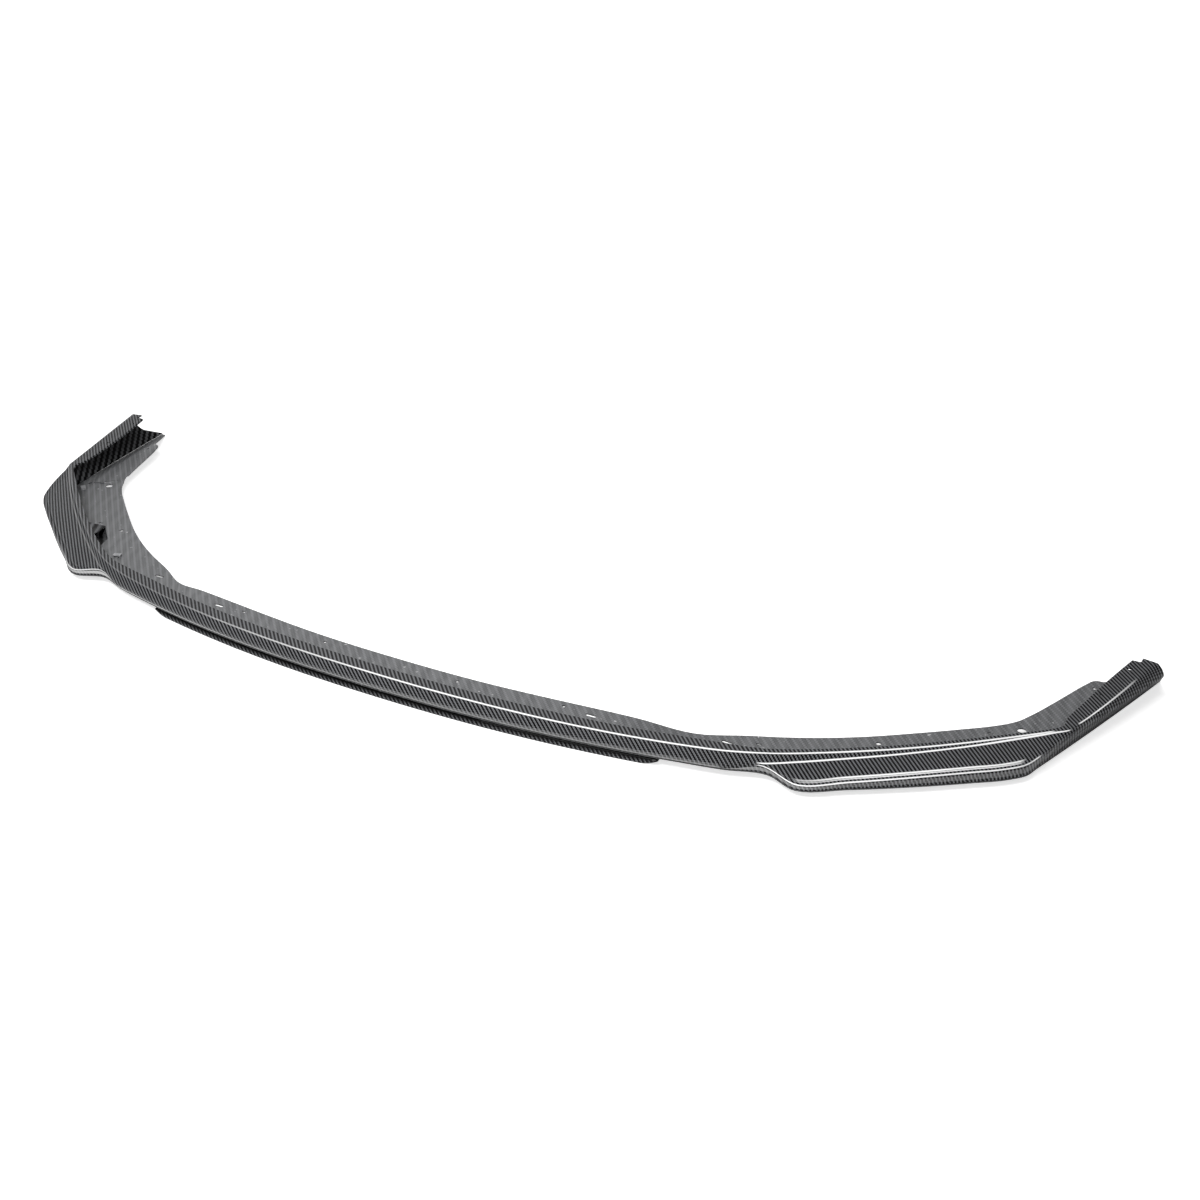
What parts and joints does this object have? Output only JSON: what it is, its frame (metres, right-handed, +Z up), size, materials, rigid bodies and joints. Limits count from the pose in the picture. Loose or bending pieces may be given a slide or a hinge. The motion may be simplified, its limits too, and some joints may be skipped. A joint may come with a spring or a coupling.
{
  "type": "front splitter lip",
  "caption": "Low curved lip for the underside of a car's front bumper, with stepped corner blades, a mounting tray and wings that run back to the wheel arches.",
  "frame": {"origin": "centre of the bounding box on the floor that the lip lies on", "axes": "+X across the car, +Y towards the car's rear, so the nose faces -Y, +Z up"},
  "size_m": [1.8232, 0.586, 0.06],
  "materials": {
    "outer_skin": "clear-coated carbon twill",
    "mounting_tray": "satin carbon twill",
    "nose_underlip": "clear-coated carbon twill"
  },
  "bodies": {
    "root": {"outer_skin": "outer_skin", "mounting_tray": "mounting_tray", "nose_underlip": "nose_underlip"}
  },
  "joints": []
}
